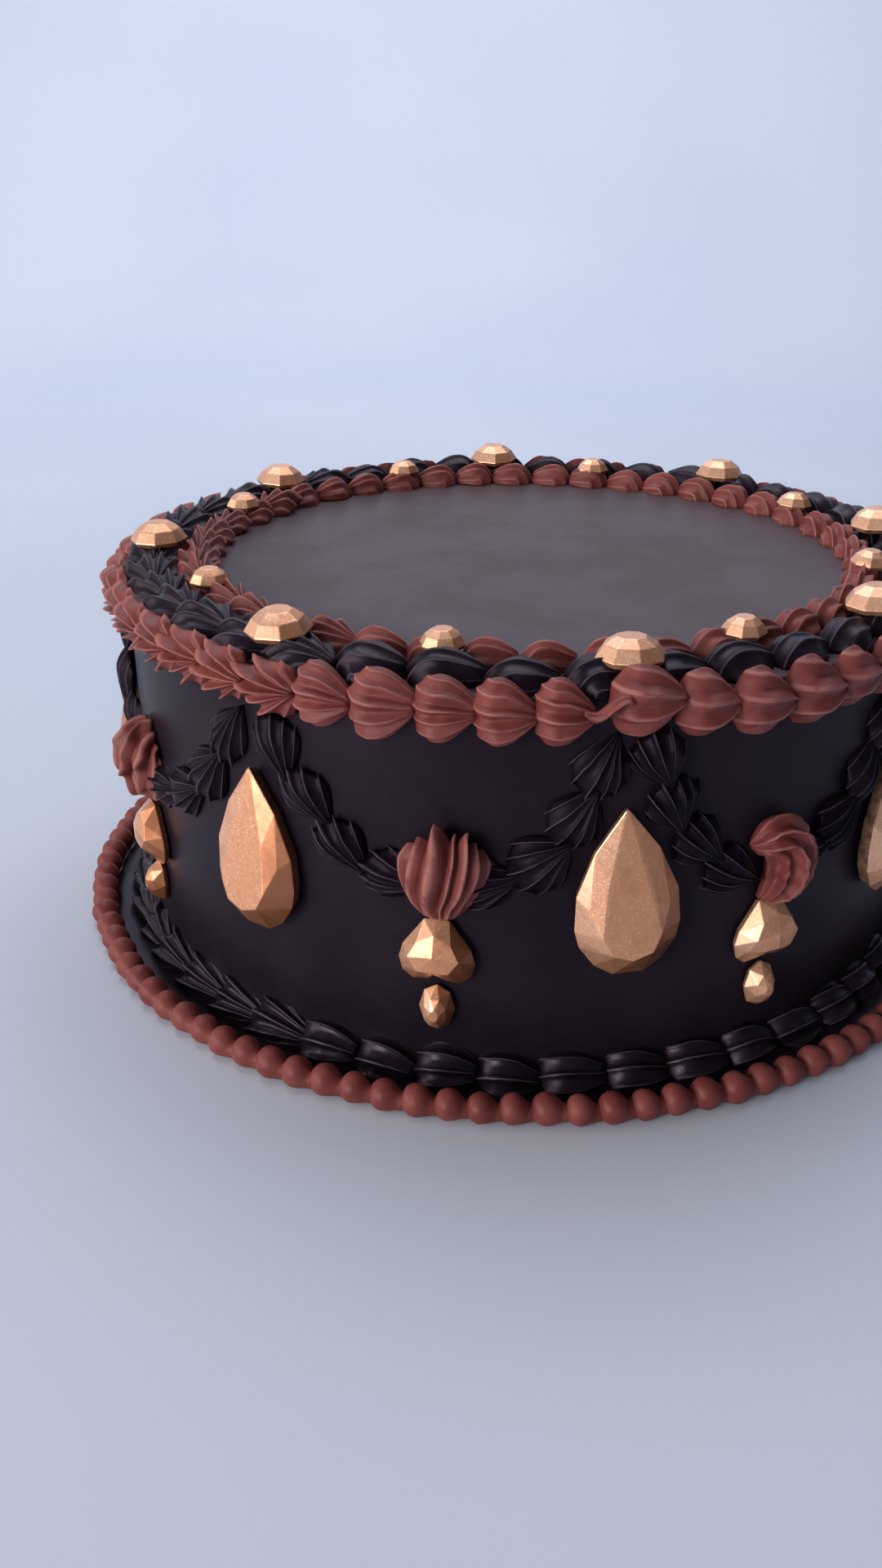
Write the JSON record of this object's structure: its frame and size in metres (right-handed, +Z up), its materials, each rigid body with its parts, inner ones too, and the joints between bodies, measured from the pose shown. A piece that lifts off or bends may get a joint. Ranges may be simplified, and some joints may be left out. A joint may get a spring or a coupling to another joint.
{
  "type": "chocolate cake",
  "caption": "Round chocolate cake with piped shell borders, a draped garland, rosettes and faceted gold gems.",
  "frame": {"origin": "centre of the cake's underside, on the surface it stands on", "axes": "+Z up through the middle of the cake; -Y towards the front teardrop gem"},
  "size_m": [0.2424, 0.2424, 0.1017],
  "materials": {
    "dark_icing": "smooth satin dark chocolate coat",
    "dark_piping": "satin near-black piped icing",
    "milk_piping": "soft milk-chocolate piped icing",
    "gold_gem": "copper-gold lustre dust on cast chocolate"
  },
  "bodies": {
    "root": {"cake": "dark_icing", "inner_top_border": "milk_piping", "dark_top_border": "dark_piping", "outer_top_border": "milk_piping", "garland": "dark_piping", "base_shell_border": "dark_piping", "pearl_border": "milk_piping", "rosette_1": "milk_piping", "rosette_2": "milk_piping", "rosette_3": "milk_piping", "rosette_4": "milk_piping", "rosette_5": "milk_piping", "rosette_6": "milk_piping", "rosette_7": "milk_piping", "rosette_8": "milk_piping", "top_gem_1": "gold_gem", "top_gem_2": "gold_gem", "top_gem_3": "gold_gem", "top_gem_4": "gold_gem", "top_gem_5": "gold_gem", "top_gem_6": "gold_gem", "top_gem_7": "gold_gem", "top_gem_8": "gold_gem", "small_top_gem_1": "gold_gem", "small_top_gem_2": "gold_gem", "small_top_gem_3": "gold_gem", "small_top_gem_4": "gold_gem", "small_top_gem_5": "gold_gem", "small_top_gem_6": "gold_gem", "small_top_gem_7": "gold_gem", "small_top_gem_8": "gold_gem", "teardrop_gem_1": "gold_gem", "teardrop_gem_2": "gold_gem", "teardrop_gem_3": "gold_gem", "teardrop_gem_4": "gold_gem", "teardrop_gem_5": "gold_gem", "teardrop_gem_6": "gold_gem", "teardrop_gem_7": "gold_gem", "teardrop_gem_8": "gold_gem", "heart_gem_1": "gold_gem", "heart_gem_2": "gold_gem", "heart_gem_3": "gold_gem", "heart_gem_4": "gold_gem", "heart_gem_5": "gold_gem", "heart_gem_6": "gold_gem", "heart_gem_7": "gold_gem", "heart_gem_8": "gold_gem", "oval_gem_1": "gold_gem", "oval_gem_2": "gold_gem", "oval_gem_3": "gold_gem", "oval_gem_4": "gold_gem", "oval_gem_5": "gold_gem", "oval_gem_6": "gold_gem", "oval_gem_7": "gold_gem", "oval_gem_8": "gold_gem"}
  },
  "joints": []
}
